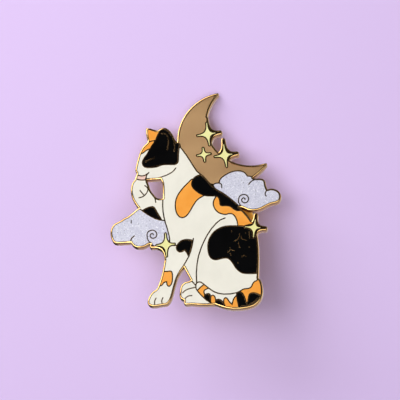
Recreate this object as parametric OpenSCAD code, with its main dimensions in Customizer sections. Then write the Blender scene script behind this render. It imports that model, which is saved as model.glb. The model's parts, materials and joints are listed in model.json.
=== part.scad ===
/* [Pin] */
// Height of the pin from the tail to the tip of the moon
pin_h = 45.7; // [38:0.1:60]
// Thickness of the struck plate
plate_t = 1.8; // [1.4:0.1:2.6]
// Depth of the cells that hold the enamel
cell_depth = 0.6; // [0.4:0.05:0.9]
// How far the enamel sits below the tops of the metal lines
enamel_drop = 0.03; // [0:0.01:0.1]
// Depth of the bare metal field of the moon
moon_depth = 0.12; // [0.05:0.01:0.3]

/* [Metal lines] */
// Width of the metal lines between two cells
line_w = 0.26; // [0.18:0.02:0.36]
// Width of the metal border along the outer edge
border_w = 0.42; // [0.3:0.02:0.6]
// Width of the fine strokes drawn inside a cell
stroke_w = 0.24; // [0.16:0.02:0.34]
// Width of the metal rim around a star
star_rim = 0.26; // [0.16:0.02:0.4]
// Half the width of the narrowest tongue of enamel that is kept
cell_min = 0.05; // [0.02:0.01:0.1]
// Radius of the tips of the moon
horn_r = 0.25; // [0.1:0.01:0.4]

/* [Posts] */
// Distance between the two posts
post_spacing = 13; // [12:0.5:18]
// Length of a post behind the plate
post_l = 8.2; // [7:0.1:12]
// Diameter of the post shank
post_d = 1.1; // [0.9:0.05:1.3]
// Diameter of the soldered pad at the root of a post
pad_d = 4.6; // [3:0.1:6]
// Thickness of that pad
pad_t = 0.5; // [0.3:0.05:0.8]
// Depth of the locking groove near the tip
groove_depth = 0.12; // [0.05:0.01:0.18]

/* [Clutches] */
// Diameter of a clutch
clutch_d = 9.6; // [8:0.1:11]
// Room for cloth between the plate and a clutch
cloth_gap = 2.5; // [1:0.1:4]
// Height of the drum of a clutch
drum_h = 1.9; // [1.4:0.1:2.6]
// Thickness of the clutch sheet metal
sheet_t = 0.35; // [0.25:0.05:0.5]
// Thickness of a spring wing
wing_t = 0.3; // [0.2:0.05:0.4]
// Width of a spring wing
wing_w = 4.6; // [3.6:0.1:5.2]
// Height of the wings above the plate side of the clutch
wing_h = 5.8; // [5:0.1:7]
// Radial clearance between a post and what slides on it
post_clear = 0.06; // [0.04:0.01:0.1]
// Clearance between a wing and the drum
wing_clear = 0.15; // [0.1:0.01:0.3]

/* [Hidden] */
NODES = [
    "base_plate",
    "white_coat", "white_foreleg", "white_arm", "white_hind_paw", "white_tail_tip", "white_tail_band",
    "orange_ear", "orange_brow", "orange_shoulder", "orange_back", "orange_foreleg",
    "orange_tail_stripe", "orange_tail_spot", "orange_tail_wave", "orange_tail_root",
    "black_head", "black_arm", "black_back", "black_haunch", "black_knee",
    "black_tail_spot", "black_tail_patch", "black_tail_root",
    "pink_mouth", "left_cloud", "right_cloud",
    "top_star", "middle_star", "little_star", "back_star", "chest_star",
    "left_post", "right_post",
    "left_clutch_cup", "left_clutch_outer_wing", "left_clutch_inner_wing",
    "right_clutch_cup", "right_clutch_outer_wing", "right_clutch_inner_wing"
];

$fn = 48;
// Height at which the outlines below are drawn, and the height of the post row on them
art_h = 45.7;
post_row = -3;
art_scale = pin_h / art_h;
// Most that a drawn curve turns from one straight piece to the next, in degrees
bend = 11;
// Small overrun of a cut past the face that it opens
over = 0.5;

white = "#e8e6de";
orange = "#f5a546";
black = "#050506";
pink = "#ecc8b8";
glitter = "#cdcddc";
yellow = "#ebe8a0";
gold = "#c79a55";

// ---- Curves: a point is [x, y], and a third value of 1 makes it a corner ----

function xy(p) = [p[0], p[1]];
function corner(p) = len(p) > 2;
function unit(v) = v / max(norm(v), 0.000001);
function place(p) = (xy(p) - [0, post_row]) * art_scale;
// Direction of the curve at b, between a and c; a corner takes the direction of its own span
function heading(a, b, c, span) = corner(b) ? unit(span) : unit(xy(c) - xy(a));
function turn(u, v) = acos(min(1, max(-1, u * v)));
// Cubic span from b to c, with a before and d after them; c itself is left to the next span
function span_points(a, b, c, d) =
    let (run = xy(c) - xy(b), size = norm(run), out = heading(a, b, c, run), back = heading(b, c, d, run),
         count = max(1, ceil((turn(out, unit(run)) + turn(unit(run), back)) / bend)),
         leave = out * size, arrive = back * size)
    [for (i = [0 : count - 1]) let (t = i / count, s = 1 - t)
        (1 + 2 * t) * s * s * xy(b) + t * s * s * leave
        + t * t * (3 - 2 * t) * xy(c) - t * t * s * arrive];
function loop(p) = let (n = len(p))
    [for (i = [0 : n - 1]) each span_points(p[(i + n - 1) % n], p[i], p[(i + 1) % n], p[(i + 2) % n])];
function path(p) = let (n = len(p))
    [for (i = [0 : n - 2]) each span_points(p[max(i - 1, 0)], p[i], p[i + 1], p[min(i + 2, n - 1)]),
     xy(p[n - 1])];

// A closed area, and a metal line of even width with round ends
module area(points) polygon([for (p = loop(points)) place(p)]);
module dot(centre, r) translate(place(centre)) circle(r = r, $fn = 12);
module line(points, w = stroke_w) {
    c = [for (p = path(points)) place(p)];
    n = len(c);
    side = [for (i = [0 : n - 1])
        let (d = unit(c[min(i + 1, n - 1)] - c[max(i - 1, 0)]))
            [-d.y, d.x] * w / 2];
    polygon(concat([for (i = [0 : n - 1]) c[i] + side[i]], [for (i = [n - 1 : -1 : 0]) c[i] - side[i]]));
    for (end = [c[0], c[n - 1]]) translate(end) circle(d = w, $fn = 12);
}
// Curl of a cloud: a spiral that winds clockwise from its open end to its centre
module curl(centre, radius, start, turn, inner = 0.15) line([for (i = [0 : 9]) let (t = i / 9,
    r = radius + (inner - radius) * t, a = start - turn * t) centre + r * [cos(a), sin(a)]]);

// Four-pointed star: each quarter is a power curve between two arms
// arms are the lengths to the right, up, left and down
star_power = 4.4;
function star_outline(arms) = [for (a = [0 : 11.25 : 348.75])
    [(cos(a) > 0 ? arms[0] : arms[2]) * sign(cos(a)) * pow(abs(cos(a)), star_power),
     (sin(a) > 0 ? arms[1] : arms[3]) * sign(sin(a)) * pow(abs(sin(a)), star_power)]];
module star_area(star, reach = 0) {
    arms = [for (arm = star[1]) (arm + reach) * art_scale];
    translate(place(star[0])) rotate(star[2]) polygon(star_outline(arms));
}
// Each star: centre, arms and lean
TOP_STAR = [[2.35, 14.1], [1.45, 2.4, 2.2, 2.4], 7];
MIDDLE_STAR = [[5.85, 9.45], [1.4, 2.3, 2.1, 2.5], 7];
LITTLE_STAR = [[1.5, 9.7], [1.3, 1.4, 1.35, 1.45], 7];
BACK_STAR = [[11.75, -6.1], [1.15, 1.6, 1.85, 2.0], -6];
CHEST_STAR = [[-6.2, -9.25], [1.7, 2.3, 1.9, 2.4], 3];
STARS = [TOP_STAR, MIDDLE_STAR, LITTLE_STAR, BACK_STAR, CHEST_STAR];
// How far the metal of a star reaches past the tips of its enamel
star_reach = 1.0;
// Smallest half width of the enamel in an arm
star_half = 0.07;

module star_cell(star) offset(r = star_half, $fn = 12) star_area(star);
module star_metal(star) offset(r = star_half + star_rim, $fn = 16) star_area(star);
module star_body(star) offset(r = star_half + star_rim + 0.16, $fn = 16) star_area(star, star_reach);

// ---- Outlines of the cat, the clouds and the moon ----

MOON_OUTER = [[6.1, 13.0], 10.15];
MOON_INNER = [[11.35, 16.35], 9.25];
module moon_area() offset(r = horn_r, $fn = 24) offset(delta = -horn_r) difference() {
    translate(place(MOON_OUTER[0])) circle(r = MOON_OUTER[1] * art_scale, $fn = 96);
    translate(place(MOON_INNER[0])) circle(r = MOON_INNER[1] * art_scale, $fn = 96);
}

COAT = [
    [-10.45, 15.9, 1], [-9.6, 15.75], [-8.8, 15.45], [-8.05, 15.25, 1], [-7.5, 15.62], [-6.85, 15.8],
    [-6.1, 15.6], [-5.4, 14.95], [-4.85, 14.05], [-4.45, 13.1], [-3.95, 12.6], [-3.5, 12.1],
    [-3.35, 11.4, 1], [-2.95, 10.9], [-2.25, 9.9], [-1.5, 8.7], [-0.7, 7.35], [0.05, 6.15], [0.7, 5.6],
    [1.4, 5.05], [2.2, 4.05], [3.1, 3.0], [4.0, 2.2], [5.0, 1.6], [6.0, 0.9], [7.0, 0.05], [8.0, -0.85],
    [9.0, -1.9], [9.8, -2.75], [10.5, -3.6], [11.4, -5.0], [12.1, -6.8], [12.45, -8.4], [12.6, -10.2],
    [12.65, -12.4], [12.6, -14.6], [12.5, -16.6], [11.5, -19.5], [6.0, -21.5], [1.5, -20.0],
    [-0.25, -17.8, 1], [-1.3, -16.6, 1], [-1.9, -15.4], [-2.55, -14.1, 1], [-3.2, -15.0],
    [-3.85, -16.3], [-4.3, -17.8], [-4.7, -19.4], [-5.15, -20.8], [-5.9, -21.7], [-6.8, -21.85],
    [-7.7, -22.0], [-8.6, -22.1], [-9.5, -21.85], [-9.9, -21.3], [-9.8, -20.5], [-9.45, -19.7],
    [-8.95, -19.0], [-8.3, -18.6], [-7.95, -18.2], [-7.65, -17.4], [-7.3, -16.3], [-7.0, -15.2],
    [-6.75, -13.9], [-6.55, -12.6], [-6.4, -11.2], [-5.9, -9.8], [-5.45, -8.5], [-5.6, -7.3],
    [-5.95, -5.9], [-6.35, -4.6], [-6.65, -3.4], [-6.85, -2.2], [-6.92, -1.0], [-6.9, 0.4, 1],
    [-6.95, 1.6], [-6.95, 3.0], [-7.1, 4.0], [-7.4, 4.7, 1], [-8.5, 4.62], [-9.5, 4.58],
    [-10.4, 4.62, 1], [-11.3, 4.62], [-12.0, 4.75], [-12.65, 5.0, 1], [-12.5, 5.6], [-12.35, 6.1],
    [-12.6, 6.6], [-12.58, 7.3], [-12.38, 8.3], [-12.1, 9.4], [-11.8, 10.4], [-11.35, 11.4],
    [-10.85, 12.1], [-10.25, 12.65], [-10.15, 13.1], [-10.35, 13.9], [-10.5, 14.9]
];
ARM = [
    [-12.6, 5.3, 1], [-12.72, 4.85], [-13.15, 4.3], [-13.45, 3.4], [-13.52, 2.3], [-13.35, 1.2],
    [-12.95, 0.2],
    [-12.4, -0.7], [-11.8, -1.4], [-11.0, -2.0], [-10.2, -2.6], [-9.3, -3.2], [-8.4, -3.68],
    [-7.5, -4.0], [-6.4, -4.15, 1], [-5.6, -3.0], [-5.5, -0.6], [-6.2, 0.75, 1],
    [-7.0, 0.62], [-7.6, 0.6], [-8.15, 0.75], [-8.65, 1.3], [-9.2, 2.05], [-9.6, 2.8],
    [-9.8, 3.6], [-10.05, 4.2],
    [-10.2, 5.3, 1]
];
HIND_PAW = [
    [-0.8, -16.6, 1], [0.6, -17.6, 1], [1.2, -18.8], [2.0, -20.2], [3.6, -21.4], [3.7, -22.0, 1],
    [2.0, -22.1], [0.4, -22.0], [-1.0, -21.85], [-2.1, -21.9], [-2.55, -21.55], [-2.55, -21.0],
    [-3.15, -20.65], [-3.45, -20.0], [-3.4, -19.2], [-3.3, -18.3], [-2.95, -17.6], [-2.3, -17.1],
    [-1.6, -16.95]
];
TAIL = [
    [-0.15, -18.1], [0.02, -17.45], [0.5, -17.2], [1.05, -17.35], [1.65, -17.85], [2.4, -18.5],
    [3.2, -19.1], [4.2, -19.6], [5.5, -19.85], [6.8, -19.85], [8.0, -19.65], [8.8, -19.3],
    [9.5, -18.9], [10.5, -18.8], [11.05, -18.45], [11.35, -17.8], [11.7, -17.4], [12.1, -17.25],
    [12.45, -16.7, 1], [12.85, -17.0], [13.2, -17.9], [13.35, -19.0], [13.3, -20.1], [12.95, -21.1],
    [12.4, -21.85], [11.5, -22.45], [10.2, -22.85], [8.8, -23.02], [7.3, -23.02], [6.0, -22.8],
    [4.8, -22.4], [3.8, -22.0], [2.9, -21.6], [1.95, -20.95], [1.15, -20.2], [0.5, -19.45], [0.0, -18.75]
];
LEFT_CLOUD = [
    [-11.7, -1.3], [-12.6, -1.85], [-13.4, -2.5], [-14.1, -3.05], [-14.8, -3.35], [-15.4, -3.8],
    [-16.1, -4.15], [-16.9, -4.6], [-17.4, -5.3], [-17.6, -6.1], [-17.5, -7.2], [-17.2, -8.1],
    [-16.6, -8.65], [-15.5, -8.75], [-14.3, -8.7], [-13.4, -8.65, 1], [-13.0, -9.2], [-12.3, -9.65],
    [-11.4, -9.75], [-10.5, -9.55], [-9.8, -9.15], [-9.35, -9.0, 1], [-8.8, -9.35], [-8.0, -9.7],
    [-6.4, -9.6], [-5.2, -7.0], [-6.2, -4.0], [-9.0, -2.4]
];
RIGHT_CLOUD = [
    [3.4, 3.05], [3.85, 3.45], [4.35, 3.5], [4.65, 3.6, 1], [4.7, 4.05], [5.05, 4.55], [5.65, 5.05],
    [6.4, 5.5], [7.3, 5.85], [8.4, 6.0], [9.3, 5.85], [9.95, 5.45], [10.45, 4.8, 1], [11.1, 4.72],
    [11.75, 4.35, 1], [12.3, 4.28], [12.9, 4.3], [13.5, 4.15], [13.95, 3.75], [14.1, 3.2],
    [14.2, 2.6], [14.45, 1.9, 1], [15.0, 2.05], [15.7, 2.0], [16.4, 1.7], [16.95, 1.15], [17.2, 0.45],
    [17.1, -0.25], [16.7, -0.8], [16.0, -1.1], [15.2, -1.25], [14.3, -1.65], [13.4, -2.15],
    [12.4, -2.48], [11.4, -2.55], [10.4, -2.4], [9.5, -1.95], [8.6, -1.6], [5.0, 0.8]
];

module coat_area() area(COAT);
module arm_area() area(ARM);
module hind_paw_area() area(HIND_PAW);
module tail_area() area(TAIL);
module left_cloud_area() area(LEFT_CLOUD);
module right_cloud_area() area(RIGHT_CLOUD);

// ---- Coloured patches, drawn on past the edge of the part that they colour ----

BLACK_HEAD = [
    [-6.9, 16.6], [-7.5, 15.3], [-8.05, 14.2], [-8.45, 13.25], [-8.85, 12.5], [-9.3, 11.85],
    [-9.7, 11.1], [-10.15, 10.2], [-10.75, 9.4], [-11.1, 8.7], [-11.1, 8.0], [-10.7, 7.45],
    [-10.0, 7.25], [-9.0, 7.25], [-8.2, 7.35], [-7.4, 7.65], [-6.6, 7.82], [-5.6, 7.8],
    [-4.6, 7.75], [-4.0, 8.0], [-3.75, 8.6], [-3.72, 10.0], [-3.6, 11.2], [-3.3, 12.2],
    [-4.2, 14.5], [-5.5, 16.5]
];
ORANGE_EAR = [[-11.2, 16.6, 1], [-7.2, 16.6, 1], [-7.6, 13.2, 1], [-8.5, 13.1], [-9.3, 12.95],
    [-10.2, 12.6], [-11.2, 12.0, 1]];
ORANGE_BROW = [
    [-11.4, 13.4, 1], [-7.8, 13.9, 1], [-8.8, 11.3, 1], [-9.6, 11.3], [-10.3, 11.0], [-11.1, 10.4],
    [-12.6, 9.9, 1]
];
PINK_MOUTH = [
    [-13.2, 5.7, 1], [-12.2, 5.72], [-11.4, 5.5], [-10.7, 5.6], [-10.25, 5.85, 1], [-10.35, 5.2],
    [-10.6, 4.4, 1], [-13.2, 4.4, 1]
];
BLACK_ARM = [
    [-11.7, -2.2, 1], [-10.3, -1.45], [-9.4, -1.15], [-8.8, -1.2], [-8.4, -1.7], [-7.8, -2.8],
    [-7.05, -4.1, 1], [-8.0, -5.0, 1], [-11.0, -3.0, 1]
];
ORANGE_SHOULDER = [
    [-0.9, 4.5], [-1.7, 3.8], [-2.6, 2.9], [-3.4, 1.9], [-4.0, 0.85], [-4.32, -0.4], [-4.3, -1.7],
    [-4.0, -2.75], [-3.5, -3.4], [-2.8, -3.62], [-2.1, -3.3], [-1.4, -2.4], [-0.8, -1.3],
    [-0.2, -0.35], [0.5, 0.35], [1.45, 0.9, 1], [1.5, 3.0], [0.2, 4.4]
];
BLACK_BACK = [
    [-1.0, 3.6], [-0.75, 4.4], [-0.2, 5.05], [0.6, 5.35, 1], [1.5, 6.2, 1], [6.0, 2.4, 1],
    [10.4, -1.6, 1], [9.7, -2.5, 1], [9.0, -2.45], [8.2, -2.45], [7.5, -2.05], [6.9, -1.55], [6.2, -1.35],
    [5.4, -1.35], [4.85, -1.15], [4.75, -0.4], [4.55, 0.3], [4.05, 0.72], [3.2, 0.8], [2.2, 0.85],
    [1.2, 1.1], [0.3, 1.65], [-0.5, 2.35], [-0.9, 3.0]
];
ORANGE_BACK = [
    [4.3, 0.75], [3.75, 0.3], [3.45, -0.4], [3.45, -1.2], [3.8, -2.05], [4.4, -2.7], [5.1, -3.05],
    [5.9, -3.2], [6.6, -3.05], [7.3, -3.15], [7.9, -3.8], [8.25, -4.7], [8.45, -5.9, 1],
    [12.5, -6.2, 1], [12.0, -3.6, 1], [9.5, -1.5, 1], [5.5, -0.2, 1]
];
BLACK_HAUNCH = [
    [2.3, -9.6], [2.5, -8.5], [3.1, -7.35], [4.0, -6.45], [5.2, -5.85], [6.6, -5.62], [8.3, -5.68],
    [9.6, -5.75], [10.5, -5.5], [13.5, -4.9, 1], [13.6, -15.8, 1], [12.2, -15.75], [10.6, -15.72],
    [9.4, -15.6], [8.6, -15.15], [7.9, -14.4], [7.3, -13.4], [6.8, -12.75], [6.2, -12.38],
    [5.5, -12.35], [4.8, -12.5], [4.0, -12.65], [3.25, -12.5], [2.7, -11.95], [2.4, -11.0]
];
BLACK_KNEE = [
    [-4.1, -9.9], [-3.8, -9.2], [-3.1, -8.52], [-2.3, -8.27], [-1.5, -8.3], [-0.8, -8.45, 1],
    [-0.88, -9.4], [-1.15, -10.6], [-1.58, -11.8, 1], [-1.85, -11.3], [-2.05, -10.7], [-2.4, -10.45],
    [-2.8, -10.72], [-3.4, -10.85], [-3.9, -10.5]
];
ORANGE_FORELEG = [
    [-8.0, -14.8, 1], [-6.0, -14.85], [-5.2, -14.82], [-4.92, -15.3], [-4.87, -16.4], [-5.05, -17.4],
    [-5.55, -17.95], [-5.95, -17.6], [-6.05, -17.0, 1], [-6.5, -17.1], [-7.0, -17.7, 1], [-8.6, -18.2, 1]
];

// White enamel below the knee, parted from the coat by the chest star, the knee and a line
WHITE_FORELEG = [
    [-8.5, -9.3, 1], [-3.2, -9.5, 1], [-2.0, -11.0, 1], [-1.5, -11.7, 1], [-2.15, -12.9], [-2.75, -13.9],
    [-3.1, -14.6, 1], [-3.0, -23.0, 1], [-11.0, -23.0, 1]
];

// The stripes of the tail, from its tip to its root
WHITE_TAIL_TIP = [[-1.0, -16.6, 1], [1.0, -16.4, 1], [1.6, -17.7, 1], [0.8, -18.3],
    [0.1, -19.05, 1], [-1.0, -18.8, 1]];
ORANGE_TAIL_STRIPE = [
    [0.1, -19.05, 1], [0.8, -18.3], [1.6, -17.7, 1], [2.55, -18.55, 1], [1.8, -18.8], [1.48, -19.25],
    [1.65, -19.8, 1], [1.55, -21.0, 1], [0.0, -20.2, 1]
];
BLACK_TAIL_SPOT = [
    [1.5, -20.5, 1], [1.75, -19.95], [2.15, -19.68], [2.6, -19.75], [2.85, -20.1, 1],
    [2.85, -22.2, 1], [1.3, -21.4, 1]
];
ORANGE_TAIL_SPOT = [[2.85, -20.3, 1], [3.2, -20.02], [3.62, -20.25], [3.85, -20.9, 1],
    [3.85, -22.7, 1], [2.85, -22.2, 1]];
BLACK_TAIL_PATCH = [
    [3.85, -21.05, 1], [4.45, -20.9], [5.0, -21.15], [5.48, -21.7, 1], [5.65, -22.2],
    [6.3, -23.4, 1], [3.85, -22.9, 1]
];
ORANGE_TAIL_WAVE = [
    [5.48, -21.7, 1], [5.5, -20.95], [5.85, -20.62], [6.25, -20.9], [6.7, -21.6], [7.15, -22.0, 1],
    [7.35, -21.2], [7.65, -20.6], [8.1, -20.15, 1], [8.2, -21.2], [8.45, -22.3], [8.7, -23.5, 1],
    [6.2, -23.5, 1]
];
BLACK_TAIL_ROOT = [
    [8.1, -20.15, 1], [8.05, -19.3, 1], [8.9, -19.15, 1], [11.4, -19.6], [13.8, -19.8, 1], [13.8, -23.6, 1],
    [8.7, -23.6, 1], [8.45, -22.3], [8.2, -21.2]
];
ORANGE_TAIL_ROOT = [
    [8.75, -19.45, 1], [9.5, -18.4, 1], [12.0, -16.2, 1], [14.0, -17.0, 1], [13.8, -20.5, 1], [12.9, -20.3],
    [12.3, -19.95], [11.6, -19.75], [11.0, -19.78], [10.6, -20.1], [10.4, -20.9], [10.22, -21.7],
    [10.0, -21.72], [9.85, -21.1], [9.55, -20.3], [9.2, -19.7]
];

// ---- Strokes that end inside a cell ----

module fur_strokes() {
    line([[-4.25, 7.0], [-4.7, 6.4], [-5.4, 5.9], [-6.2, 5.5], [-7.1, 5.2], [-7.7, 5.0]]);
    line([[-10.45, 8.45], [-10.1, 8.85], [-9.5, 9.0], [-8.7, 9.3]]);
    line([[-10.3, 5.5], [-10.1, 5.85], [-9.8, 6.2]]);
    line([[-7.15, 14.5], [-6.6, 14.55], [-6.1, 14.2], [-5.8, 13.4], [-5.75, 12.4], [-5.85, 11.6],
    [-6.05, 11.0]]);
    line([[-4.9, 13.5], [-4.7, 12.8], [-4.5, 11.8], [-4.55, 10.6]]);
    line([[5.8, -3.95], [4.9, -4.3], [3.9, -5.1], [3.0, -6.15], [2.2, -7.4], [1.5, -8.75], [0.9, -10.2],
          [0.4, -11.8], [0.1, -13.5], [-0.03, -15.3], [0.03, -17.4]], line_w);
    line([[-0.65, -8.1], [-0.85, -9.4], [-1.15, -10.7], [-1.58, -11.8]], line_w);
}
module paw_strokes() {
    line([[-10.6, 3.4], [-10.15, 3.0], [-9.98, 2.45], [-10.4, 1.6], [-11.05, 1.05], [-11.8, 0.85]]);
    line([[-11.6, 2.4], [-11.2, 1.9], [-10.75, 1.35]]);
    line([[-8.75, 1.0], [-8.45, 0.4], [-8.35, -0.25]]);
    line([[-8.15, -20.35], [-8.42, -20.85], [-8.45, -21.6]]);
    line([[-6.8, -20.3], [-7.02, -20.9], [-6.9, -21.6]]);
    line([[-0.1, -18.3], [-1.2, -18.5], [-2.2, -18.85], [-2.8, -19.4]]);
    line([[-0.95, -20.0], [-1.7, -20.1], [-2.25, -20.55], [-2.4, -21.2]]);
}
module cloud_strokes() {
    curl([-8.95, -7.15], 1.3, 215, 560);
    line([[-10.0, -7.9], [-9.75, -8.4], [-9.35, -8.8]]);
    line([[-13.4, -8.6], [-13.35, -8.0], [-13.1, -7.55], [-12.7, -7.25]]);
    line([[-13.35, -3.9], [-13.35, -4.5]], stroke_w * 0.75);
    curl([9.72, -0.15], 1.3, 205, 560);
    line([[8.55, -0.7], [8.8, -1.15], [9.2, -1.6]]);
    line([[12.0, 4.05], [11.4, 3.8], [10.95, 3.45], [10.65, 3.05]]);
    line([[14.35, 1.7], [14.05, 1.25], [13.98, 0.75], [14.2, 0.45]]);
    line([[4.5, 3.5], [4.95, 3.35], [5.15, 2.95], [5.12, 2.5]]);
}
// Sparkles struck into the dark haunch
sparkle_w = stroke_w * 0.8;
module sparkle_strokes() {
    for (p = [[7.15, -6.8], [9.95, -7.2], [10.75, -10.2], [8.4, -13.4]]) dot(p, sparkle_w * 0.75);
    line([[8.8, -7.3], [8.72, -7.95], [8.45, -8.45], [7.75, -8.85]], sparkle_w);
    line([[9.05, -7.9], [9.25, -8.4], [10.15, -8.75]], sparkle_w);
    line([[8.55, -9.2], [8.65, -9.8], [8.85, -10.3]], sparkle_w);
    line([[10.75, -6.9], [10.8, -8.3]], sparkle_w);
    line([[6.85, -10.3], [6.8, -10.75], [6.35, -11.15]], sparkle_w);
    line([[7.1, -10.7], [7.7, -10.85]], sparkle_w);
    line([[6.85, -11.35], [7.0, -11.75]], sparkle_w);
    line([[9.25, -12.15], [9.65, -11.85, 1], [10.05, -12.1]], sparkle_w);
    line([[8.9, -22.5], [10.2, -22.25], [11.3, -21.8], [12.0, -21.3], [12.4, -20.8]], sparkle_w);
}
module strokes() {
    fur_strokes();
    paw_strokes();
    cloud_strokes();
    sparkle_strokes();
}

// ---- The struck plate in plan ----

module cat() {
    tail_area();
    coat_area();
    hind_paw_area();
    arm_area();
}
module star_rims() for (star = STARS) star_metal(star);
module outline() offset(delta = 0) {
    moon_area();
    cat();
    left_cloud_area();
    right_cloud_area();
    for (star = STARS) star_body(star);
    // Web in the corner between the coat, the moon and the right cloud
    line([[2.95, 3.3], [3.75, 2.45]], 0.7);
}
// What lies between the lines: inside the border, clear of every stroke and star
module between_lines() difference() {
    intersection() {
        offset(r = -border_w, $fn = 12) outline();
        offset(delta = -line_w / 2) children();
        children();
    }
    strokes();
    star_rims();
}
// The same without its slivers
module cell() offset(delta = 0) intersection() {
    between_lines() children();
    offset(delta = cell_min * 1.5) offset(delta = -cell_min) between_lines() children();
}
// A patch of colour on the coat or on the tail, under the patches listed above it
module coat_cell(points, above = []) cell() difference() {
    intersection() {
        coat_area();
        area(points);
    }
    tail_area();
    for (p = above) area(p);
}
module tail_cell(points, above = []) cell() difference() {
    intersection() {
        tail_area();
        area(points);
    }
    for (p = above) area(p);
}
TAIL_COLOURS = [WHITE_TAIL_TIP, ORANGE_TAIL_STRIPE, ORANGE_TAIL_SPOT, ORANGE_TAIL_WAVE, ORANGE_TAIL_ROOT,
                BLACK_TAIL_SPOT, BLACK_TAIL_PATCH, BLACK_TAIL_ROOT];
COAT_COLOURS = [BLACK_HEAD, ORANGE_EAR, ORANGE_BROW, PINK_MOUTH, ORANGE_SHOULDER, BLACK_BACK, ORANGE_BACK,
                BLACK_HAUNCH, BLACK_KNEE, ORANGE_FORELEG];

module white_coat_cell() cell() difference() {
    coat_area();
    tail_area();
    for (p = COAT_COLOURS) area(p);
    area(WHITE_FORELEG);
}
module white_arm_cell() cell() difference() {
    arm_area();
    coat_area();
    area(BLACK_ARM);
}
module white_hind_paw_cell() cell() difference() {
    hind_paw_area();
    coat_area();
    tail_area();
}
module white_tail_band_cell() cell() difference() {
    tail_area();
    for (p = TAIL_COLOURS) area(p);
}
module black_arm_cell() cell() difference() {
    intersection() {
        arm_area();
        area(BLACK_ARM);
    }
    coat_area();
}
module left_cloud_cell() cell() difference() {
    left_cloud_area();
    cat();
}
module right_cloud_cell() cell() difference() {
    right_cloud_area();
    cat();
}
module moon_cell() cell() difference() {
    moon_area();
    cat();
    right_cloud_area();
}

// Every cell that holds enamel, by the name of its fill
FILLS = [for (i = [1 : len(NODES) - 9]) NODES[i]];
module fill_cell(name) {
    if (name == "white_coat") white_coat_cell();
    if (name == "white_foreleg") coat_cell(WHITE_FORELEG, [ORANGE_FORELEG, BLACK_KNEE]);
    if (name == "white_arm") white_arm_cell();
    if (name == "white_hind_paw") white_hind_paw_cell();
    if (name == "white_tail_tip") tail_cell(WHITE_TAIL_TIP);
    if (name == "white_tail_band") white_tail_band_cell();
    if (name == "orange_ear") coat_cell(ORANGE_EAR, [BLACK_HEAD]);
    if (name == "orange_brow") coat_cell(ORANGE_BROW, [BLACK_HEAD, ORANGE_EAR]);
    if (name == "orange_shoulder") coat_cell(ORANGE_SHOULDER, [BLACK_BACK]);
    if (name == "orange_back") coat_cell(ORANGE_BACK, [BLACK_BACK, BLACK_HAUNCH]);
    if (name == "orange_foreleg") coat_cell(ORANGE_FORELEG);
    if (name == "orange_tail_stripe") tail_cell(ORANGE_TAIL_STRIPE);
    if (name == "orange_tail_spot") tail_cell(ORANGE_TAIL_SPOT);
    if (name == "orange_tail_wave") tail_cell(ORANGE_TAIL_WAVE);
    if (name == "orange_tail_root") tail_cell(ORANGE_TAIL_ROOT);
    if (name == "black_head") coat_cell(BLACK_HEAD);
    if (name == "black_arm") black_arm_cell();
    if (name == "black_back") coat_cell(BLACK_BACK);
    if (name == "black_haunch") coat_cell(BLACK_HAUNCH);
    if (name == "black_knee") coat_cell(BLACK_KNEE);
    if (name == "black_tail_spot") tail_cell(BLACK_TAIL_SPOT);
    if (name == "black_tail_patch") tail_cell(BLACK_TAIL_PATCH);
    if (name == "black_tail_root") tail_cell(BLACK_TAIL_ROOT, [ORANGE_TAIL_ROOT]);
    if (name == "pink_mouth") coat_cell(PINK_MOUTH);
    if (name == "left_cloud") left_cloud_cell();
    if (name == "right_cloud") right_cloud_cell();
    if (name == "top_star") star_cell(TOP_STAR);
    if (name == "middle_star") star_cell(MIDDLE_STAR);
    if (name == "little_star") star_cell(LITTLE_STAR);
    if (name == "back_star") star_cell(BACK_STAR);
    if (name == "chest_star") star_cell(CHEST_STAR);
}

// ---- The pieces: the back of the plate lies on y = 0 and its face looks towards -y ----

// Stands a plan drawing upright, from depth "from" in front of the back, "t" thick
module upright(from, t) rotate([90, 0, 0]) translate([0, 0, from]) linear_extrude(t) children();

module all_cells() offset(delta = 0) for (name = FILLS) fill_cell(name);
module base_plate() color(gold) difference() {
    upright(0, plate_t) outline();
    upright(plate_t - cell_depth, cell_depth + over) all_cells();
    upright(plate_t - moon_depth, moon_depth + over) moon_cell();
}
module fill(name, tint) color(tint) upright(plate_t - cell_depth, cell_depth - enamel_drop) fill_cell(name);

// Turned pieces on a post are drawn as [radius, height behind the plate]
post_r = post_d / 2;
tip_l = 1.0;
groove_l = 0.5;
groove_from = cloth_gap + drum_h + 0.9;
module turned(x, points) translate([x, 0, 0]) rotate([-90, 0, 0]) rotate_extrude($fn = 64) polygon(points);
module post(x) color(gold) turned(x, [
    [0, 0], [pad_d / 2, 0], [pad_d / 2, pad_t], [post_r, pad_t], [post_r, groove_from],
    [post_r - groove_depth, groove_from], [post_r - groove_depth, groove_from + groove_l],
    [post_r, groove_from + groove_l], [post_r, post_l - tip_l], [0.06, post_l], [0, post_l]
]);

// The cup: a drum that the post passes through, with a rolled flange towards the cloth
drum_r = clutch_d / 2 - 1.1;
lip_w = 0.7;
bore_r = post_r + post_clear;
roll_r = sheet_t * 0.75;
module clutch_cup(x) color(gold) turned(x, [
    [bore_r, cloth_gap], [clutch_d / 2 - roll_r, cloth_gap], each roll(cloth_gap + roll_r),
    [drum_r, cloth_gap + sheet_t], [drum_r, cloth_gap + drum_h], [drum_r - lip_w, cloth_gap + drum_h],
    [drum_r - lip_w, cloth_gap + drum_h - sheet_t], [drum_r - sheet_t, cloth_gap + drum_h - sheet_t],
    [drum_r - sheet_t, cloth_gap + sheet_t], [bore_r, cloth_gap + sheet_t]
]);
function roll(y) = [for (a = [-90 : 15 : 120]) [clutch_d / 2 - roll_r, y] + roll_r * [cos(a), sin(a)]];

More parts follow.
